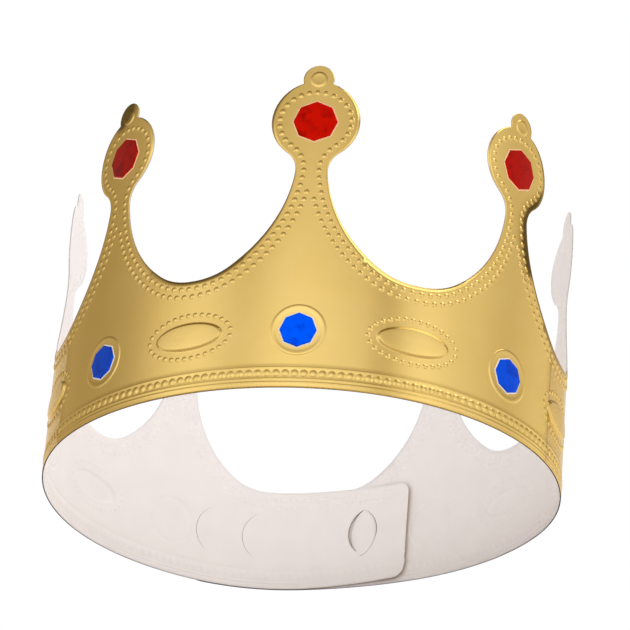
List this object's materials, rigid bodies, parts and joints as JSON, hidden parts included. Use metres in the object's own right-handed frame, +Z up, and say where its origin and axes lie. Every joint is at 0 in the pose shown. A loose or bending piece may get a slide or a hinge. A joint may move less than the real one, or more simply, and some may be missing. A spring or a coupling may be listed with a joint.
{
  "type": "paper crown",
  "caption": "Paper party crown: a strip of embossed gold foil card, cut into ball-headed points with red and blue gems, curled into a ring and hooked together at the rear.",
  "frame": {"origin": "on the plane of the lower edge, at the middle of the crown's bounding box", "axes": "+Z up towards the tips of the points; -Y the way the front point faces; +X to the right of someone who looks at the front"},
  "size_m": [0.1898, 0.1876, 0.1246],
  "materials": {
    "foil_card": "satin gold foil outside, white card inside",
    "red_foil": "glossy red foil",
    "blue_foil": "glossy blue foil"
  },
  "bodies": {
    "root": {"crown_band": "foil_card", "red_gem_1": "red_foil", "red_gem_2": "red_foil", "red_gem_3": "red_foil", "red_gem_4": "red_foil", "red_gem_5": "red_foil", "red_gem_6": "red_foil", "red_gem_7": "red_foil", "blue_gem_1": "blue_foil", "blue_gem_2": "blue_foil", "blue_gem_3": "blue_foil", "blue_gem_4": "blue_foil", "blue_gem_5": "blue_foil", "blue_gem_6": "blue_foil", "blue_gem_7": "blue_foil"}
  },
  "joints": []
}
